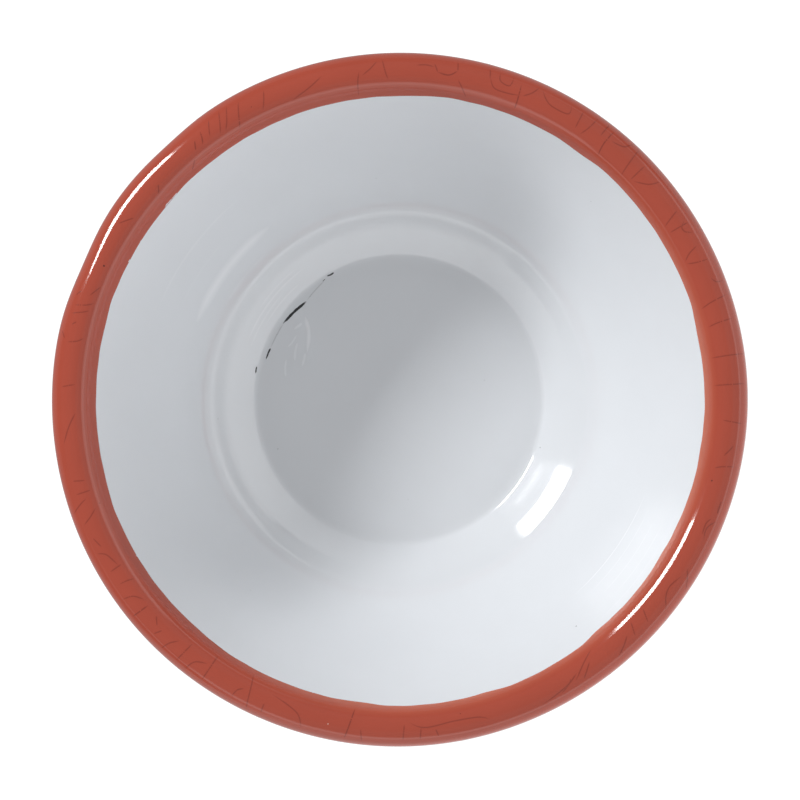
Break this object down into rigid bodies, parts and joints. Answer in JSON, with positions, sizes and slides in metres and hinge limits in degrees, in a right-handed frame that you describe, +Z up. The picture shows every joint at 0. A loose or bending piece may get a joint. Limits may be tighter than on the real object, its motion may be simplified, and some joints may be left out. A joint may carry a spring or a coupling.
{
  "type": "enamel basin bowl",
  "caption": "Round enamelled steel basin bowl with a flat pressed base, a flaring white wall and a fat rolled rim in terracotta enamel, for washing, mixing or serving.",
  "frame": {"origin": "centre of the flat base, on the surface that the bowl stands on", "axes": "+Z up along the axis of the bowl, towards its open mouth"},
  "size_m": [0.2, 0.2, 0.0614],
  "materials": {
    "sheet_steel": "cold-rolled sheet, hidden under the enamel",
    "ground_enamel": "near-black ground coat, seen only in chips",
    "white_enamel": "glossy cool white vitreous enamel with fine specks",
    "rim_enamel": "glossy terracotta vitreous enamel with fine crackle"
  },
  "bodies": {
    "root": {"steel_shell": "sheet_steel", "ground_coat_inside": "ground_enamel", "ground_coat_outside": "ground_enamel", "white_enamel_inside": "white_enamel", "white_enamel_outside": "white_enamel", "rim_enamel": "rim_enamel"}
  },
  "joints": []
}
